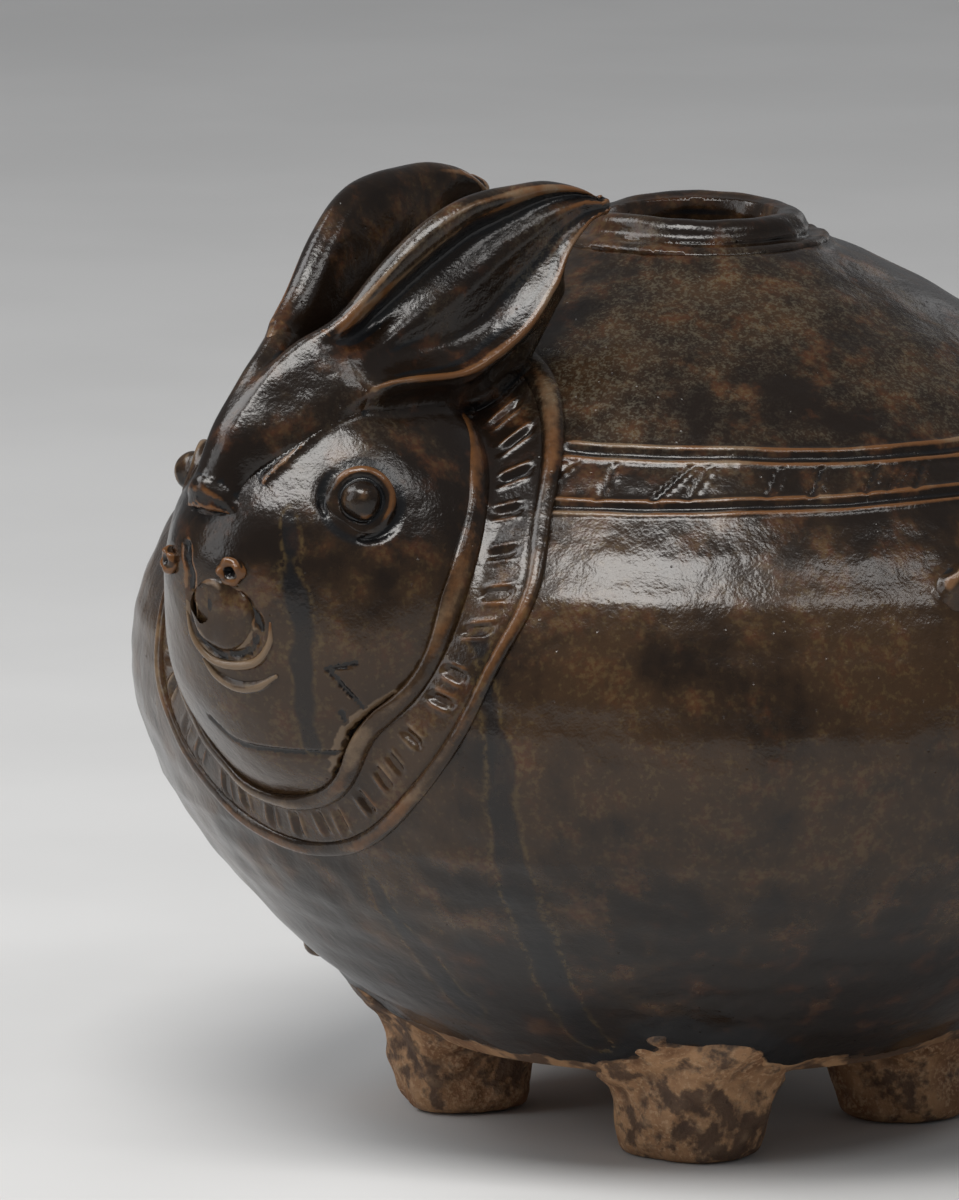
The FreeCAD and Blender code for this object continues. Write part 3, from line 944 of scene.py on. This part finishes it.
grid, gridNormals, gridMasks, seamRow = wholeBody()
floorTop = body["base"] + body["floor"]
inBowl = [(bodyAt(np.array(seam))[0] - body["wall"], seam)]
for z in np.arange(floorTop, seam, body["insideStep"])[::-1]:
    inBowl.append((bodyAt(np.array(z))[0] - body["wall"], z))
inBowl.append((0.5, floorTop))
inDome = [(body["mouthSeat"], 145.0)]
for z in np.arange(144.0, seam, -body["insideStep"]):
    # the wall leans here, so it is met a little higher up
    wide = bodyAt(np.array(z + body["wall"] * 0.55))[0]
    inDome.append((max(wide - body["wall"] * 0.9, body["mouthSeat"]), z))
inDome.append((bodyAt(np.array(seam))[0] - body["wall"], seam))
halves = [
    ("lower_bowl", slice(0, seamRow + 1), inBowl, True),
    ("upper_dome", slice(seamRow, None), inDome, False),
]
for name, rows, inside, capped in halves:
    masks = {key: values[rows] for key, values in gridMasks.items()}
    lathePiece(name, grid[rows], gridNormals[rows], masks, inside, capped)


# Pieces luted to the body, each smoothed into its neighbours

sculpt("neck_rim", luted(rimClay, (bodyField, rim["ontoBody"])), (-26, -26, 142), (26, 26, 158), 0.55)

headJoins = (snoutClay, head["snoutSoft"]), (bodyField, head["ontoBody"]), (earsAndCrest, ear["ontoHead"])
sculpt("head", luted(headClay, *headJoins, within=bodyField), (-36, -116, 58), (36, -40, 142), 0.62)
muzzleJoins = (headClay, head["snoutSoft"]), (bodyField, head["ontoBody"])
sculpt("muzzle", luted(snoutClay, *muzzleJoins, within=headShape, sunk=5.0),
       (-22, -114, 84), (22, -78, 128), 0.5)
sculpt("nose_lobe", luted(lobeClay, within=faceShape, sunk=3.0), (-9, -114, 88), (11, -100, 110), 0.35)
crestJoins = (headClay, ear["ontoHead"]), (snoutClay, ear["ontoHead"])
sculpt("brow_crest", luted(crestClay, *crestJoins, within=faceShape, sunk=5.0),
       (-18, -118, 108), (18, -76, 146), 0.42)
earJoins = (bodyField, ear["ontoBody"]), (headClay, ear["ontoHead"])
sculpt("ear_left", luted(earClay, *earJoins, within=bodyField), (2, -96, 120), (26, -30, 170), 0.42)
sculpt("ear_right", luted(earRightClay, *earJoins, within=bodyField), (-26, -96, 120), (-2, -30, 170), 0.42)


def eyeRingClay(middle, way):
    return lambda p: ring(p, middle, way, eye["ringRadius"], eye["strip"]) + 0.1 * lumps(p, 9, 95)


def eyePelletClay(middle, way):
    seat = middle + way * eye["proud"]
    return lambda p: ball(p, seat, np.full(3, eye["pellet"])) + 0.12 * lumps(p, 4, 96)


def nostrilClay(hole, way):
    return lambda p: ring(p, hole, way, nose["nostrilRing"], nose["nostrilStrip"]) + 0.3 * lumps(p, 2.6, 97)


def lipClay(line, radii):
    return lambda p: chain(p, line, radii)


for side, sign in (("left", 1), ("right", -1)):
    flip = np.array([sign, 1, 1])
    middle, way = eye["centre"] * flip, unit(eye["look"]) * flip
    eyeRing, pellet = eyeRingClay(middle, way), eyePelletClay(middle, way)
    corner = np.full(3, 8.5)
    sculpt("eye_ring_" + side, luted(eyeRing, (faceShape, 1.4), (pellet, 0.9), within=faceShape, sunk=2.0),
           middle - corner, middle + corner, 0.3)
    sculpt("eye_pellet_" + side, luted(pellet, (faceShape, 0.8), (eyeRing, 0.9), within=faceShape, sunk=2.0),
           middle - corner * 0.6, middle + corner * 0.6, 0.3)
    hole = nose["nostril"] * flip
    way = unit(slopeOf(faceShape, hole[None])[0])
    hole = settled(faceShape, hole[None])[0] + way * 0.2
    sculpt("nostril_" + side, luted(nostrilClay(hole, way), (snoutClay, 0.9), within=faceShape, sunk=2.0),
           hole - 4, hole + 4, 0.25)

# half the thickness of each lip strip, and the line along its middle
lips = dict(
    upper_lip=(0.8, faceLine(
        (-3.2, 99), (-2.6, 94.5), (0.6, 91.4), (5, 90.6), (9.6, 91.6), (12.2, 94.8), (12.8, 98.5))),
    lower_lip=(0.95, faceLine((-1.4, 91), (1.0, 88.4), (4.9, 86.9), (9.1, 87.4), (12.4, 89.3))),
)
for name, (thick, line) in lips.items():
    strip = lipClay(line, thick * np.sin(np.linspace(0.25, math.pi - 0.25, len(line))))
    sculpt(name, luted(strip, (snoutClay, 1.0), (headClay, 1.0), within=faceShape, sunk=2.0),
           line.min(0) - 2.5, line.max(0) + 2.5, 0.3)
print("face ready")

for name, foot in feetClay.items():
    forward = feet["front"] if "front" in name else feet["rear"]
    middle = spot(forward, feet["left"] * (1 if "left" in name else -1), 0)
    sculpt(name, luted(foot, (bodyField, feet["ontoBody"]), within=bodyField, sunk=feet["sunk"]),
           middle + (-24, -24, -0.4), middle + (24, 24, 36), 0.62, "bare_clay")

for side, sign in (("left", 1), ("right", -1)):
    middle = trim["lug"] * (sign, 1, 1)
    sculpt("side_lug_" + side, luted(lugClay, (bodyField, trim["lugOnto"]), within=bodyField),
           middle - 8, middle + 8, 0.4)
sculpt("tail", luted(tailClay, (bodyField, trim["tailOnto"]), within=bodyField),
       (-10, 82, 62), (10, 106, 108), 0.5)
sculpt("glaze_drip", luted(dripClay, (bodyField, trim["dripOnto"]), within=bodyField),
       trim["drip"] - 4.5, trim["drip"] + 4.5, 0.25)
print("feet and trim ready")


# The halter strap: a band with a row of gouges between two rolled cords

strap = dict(
    columns=900, cordAcross=12, bandAcross=26, innerCord=(3.0, 1.5), outerCord=(2.6, 1.1), bandLift=0.35,
    ticks=36, tickWidth=0.75, tickLength=2.2, tickDepth=0.9, tickBurr=0.35, buried=1.8, lift=2.5,
)


def strapPlace(turn, radius):
    # on the body or the face, whichever stands out, straight out from the body
    x, z = collarPlace(turn, radius)
    wide = bodyAt(z)[0]
    start = np.stack([x, -np.sqrt(np.maximum(wide**2 - x**2, 0)), z], -1)
    flat = start.reshape(-1, 3)
    slope = bodyAt(flat[:, 2])[1]
    out = unit(np.stack([flat[:, 0], flat[:, 1], -slope * np.hypot(flat[:, 0], flat[:, 1])], 1))
    lift = np.zeros(len(flat))
    for i in range(25):
        at = flat + out * lift[:, None]
        lift = np.clip(lift - 0.7 * meld(bodyField(at), faceShape(at), 3.0), 0, strap["lift"])
    return (flat + out * lift[:, None]).reshape(start.shape), out.reshape(start.shape)


def strapPiece(name, across, middle, width, height, under):
    turns = np.linspace(-180, 180, strap["columns"], endpoint=False)
    turn, share = np.meshgrid(turns, across, indexing="ij")
    place, out = strapPlace(turn, middle(turn) + share * width(turn))
    tops = place + out * height(turn, share)[..., None]
    lows = place[:, ::-1] - out[:, ::-1] * under
    rows = np.concatenate([tops, lows[:, 1:-1]], 1)
    along = np.roll(rows, -1, 0) - np.roll(rows, 1, 0)
    over = np.roll(rows, -1, 1) - np.roll(rows, 1, 1)
    ways = unit(np.cross(over, along))
    count, wide = rows.shape[:2]
    a = np.arange(count)[:, None] * wide + np.arange(wide)
    b = np.arange(count)[:, None] * wide + (np.arange(wide) + 1) % wide
    faces = np.stack([a, b, (b + wide) % (count * wide), (a + wide) % (count * wide)], -1).reshape(-1, 4)
    points = rows.reshape(-1, 3)
    masks = surfaceMasks(points)
    crest = np.zeros((count, wide))
    crest[:, :len(across)] = height(turn, share)
    # the crests of the cords carry thin glaze; the 0.15 added all over the strap paints its sheen as paler
    # worn colour
    masks["thin"] = 0.15 + 0.6 * easing(crest, 0.4 * crest.max(), crest.max()).ravel()
    masks["pool"] = easing(-crest, 0.15, 0.6).ravel() * (crest.ravel() > -under)
    makePiece(name, points, faces.tolist(), ways.reshape(-1, 3), masks, "glaze")


def cordHeight(tall, seed):
    def height(turn, share):
        wander = 1 + 0.14 * np.sin(np.radians(turn * 7) + seed)
        wander = wander + 0.08 * np.sin(np.radians(turn * 17) + 2 * seed)
        return tall * wander * np.sqrt(np.maximum(1 - (2 * share) ** 2, 0)) - 0.3 * (np.abs(share) > 0.49)
    return height


def bandHeight(turn, share):
    wide = collarOuter(turn) - collarInner(turn)
    value = strap["bandLift"] - 0.55 * easing(np.abs(share), 0.36, 0.5)
    chance = np.random.default_rng(17)
    for tick in np.linspace(-180, 180, strap["ticks"], endpoint=False):
        middle = tick + chance.uniform(-2, 2)
        lean, strength = chance.uniform(-0.25, 0.25), chance.uniform(0.55, 1.1)
        across = share * wide + chance.uniform(-0.5, 0.5)
        along = np.radians((turn - middle + 180) % 360 - 180) * (collarInner(turn) + collarOuter(turn)) / 2
        along = along - lean * across
        reach = np.exp(-((across / strap["tickLength"]) ** 4))
        value = value - strength * strap["tickDepth"] * np.exp(-((along / strap["tickWidth"]) ** 2)) * reach
        value = value + strength * strap["tickBurr"] * np.exp(-(((np.abs(along) - 1.3) / 0.5) ** 2)) * reach
    return value


def shares(count):
    # places across a strip, closer together at its edges
    return np.sin(np.linspace(-math.pi / 2, math.pi / 2, count)) / 2


cordShares = shares(strap["cordAcross"])
strapPiece("collar_inner_cord", cordShares, collarInner, lambda t: np.full_like(t, strap["innerCord"][0]),
           cordHeight(strap["innerCord"][1], 1.0), strap["buried"])
strapPiece("collar_outer_cord", cordShares, collarOuter, lambda t: np.full_like(t, strap["outerCord"][0]),
           cordHeight(strap["outerCord"][1], 2.0), strap["buried"])
strapPiece("collar_band", shares(strap["bandAcross"]), lambda t: (collarInner(t) + collarOuter(t)) / 2,
           lambda t: collarOuter(t) - collarInner(t) - 1.0, bandHeight, strap["buried"])
print("halter ready")


# Camera, floor and lamps

shot = dict(turn=47.0, rise=9.7, away=2.5, tall=0.2058, aside=-0.0364, lift=0.0868, sensor=24)
floorLook = dict(size=16, patches=90, grey=(0.62, 0.62, 0.62), pale=(0.65, 0.65, 0.65), rough=0.85, sheen=0.2)
skyLook = dict(colour=(0.9, 0.92, 0.95, 1), strength=0.2)


def looking(turn, rise):
    # unit vectors back to the camera, to its right and up
    a, e = math.radians(turn), math.radians(rise)
    back = Vector((math.sin(a) * math.cos(e), -math.cos(a) * math.cos(e), math.sin(e)))
    right = Vector((math.cos(a), math.sin(a), 0))
    return back, right, back.cross(right)


back, right, above = looking(shot["turn"], shot["rise"])
target = Vector((0, potY, 0)) + right * shot["aside"] + above * shot["lift"]
cameraData = bpy.data.cameras.new("camera")
cameraData.sensor_fit = "VERTICAL"
cameraData.sensor_height = shot["sensor"]
cameraData.lens = shot["sensor"] * shot["away"] / shot["tall"]
cameraData.clip_end = 50
camera = bpy.data.objects.new("camera", cameraData)
bpy.context.scene.collection.objects.link(camera)
camera.location = target + back * shot["away"]
camera.rotation_mode = "QUATERNION"
camera.rotation_quaternion = back.to_track_quat("Z", "Y")
bpy.context.scene.camera = camera

bpy.ops.mesh.primitive_plane_add(size=floorLook["size"], location=(0, 0, 0))
floor = bpy.context.object
floor.name = "floor"
floorPaint = Paint("floor")
cloudy = floorPaint.noise(floorLook["patches"], 3, 0.5)
floorColour = floorPaint.mix(cloudy.between(0.3, 0.7), floorLook["grey"], floorLook["pale"])
floorShine = {"Specular IOR Level": floorLook["sheen"]}
floor.data.materials.append(floorPaint.finish(floorColour, floorLook["rough"], cloudy, 0.0001, floorShine))

lamps = dict(
    key=dict(turn=26, rise=62, away=1.5, size=(0.85, 0.5), power=17.0, tint=(1.0, 0.98, 0.95)),
    strip=dict(turn=92, rise=50, away=1.5, size=(0.6, 0.22), power=2.6, tint=(1.0, 0.98, 0.96)),
    fill=dict(turn=-20, rise=22, away=1.8, size=(0.6, 1.2), power=5.0, tint=(0.96, 0.98, 1.0)),
    side=dict(turn=-50, rise=50, away=1.6, size=(0.9, 0.7), power=10.0, tint=(1, 1, 1)),
    back=dict(turn=200, rise=16, away=2.0, size=(0.7, 0.7), power=0.8, tint=(1, 1, 1)),
)
for name, setting in lamps.items():
    way = looking(setting["turn"], setting["rise"])[0]
    lamp = bpy.data.lights.new(name, "AREA")
    lamp.shape = "RECTANGLE"
    lamp.size, lamp.size_y = setting["size"]
    lamp.energy = setting["power"]
    lamp.color = setting["tint"]
    holder = bpy.data.objects.new(name, lamp)
    holder.location = Vector((0, potY, 0.08)) + way * setting["away"]
    holder.rotation_mode = "QUATERNION"
    holder.rotation_quaternion = way.to_track_quat("Z", "Y")
    bpy.context.scene.collection.objects.link(holder)

world = bpy.data.worlds.new("studio")
world.use_nodes = True
bpy.context.scene.world = world
sky = world.node_tree.nodes["Background"]
sky.inputs["Color"].default_value = skyLook["colour"]
sky.inputs["Strength"].default_value = skyLook["strength"]
bpy.context.scene.view_settings.view_transform = "Standard"
print("camera, floor and lamps ready")
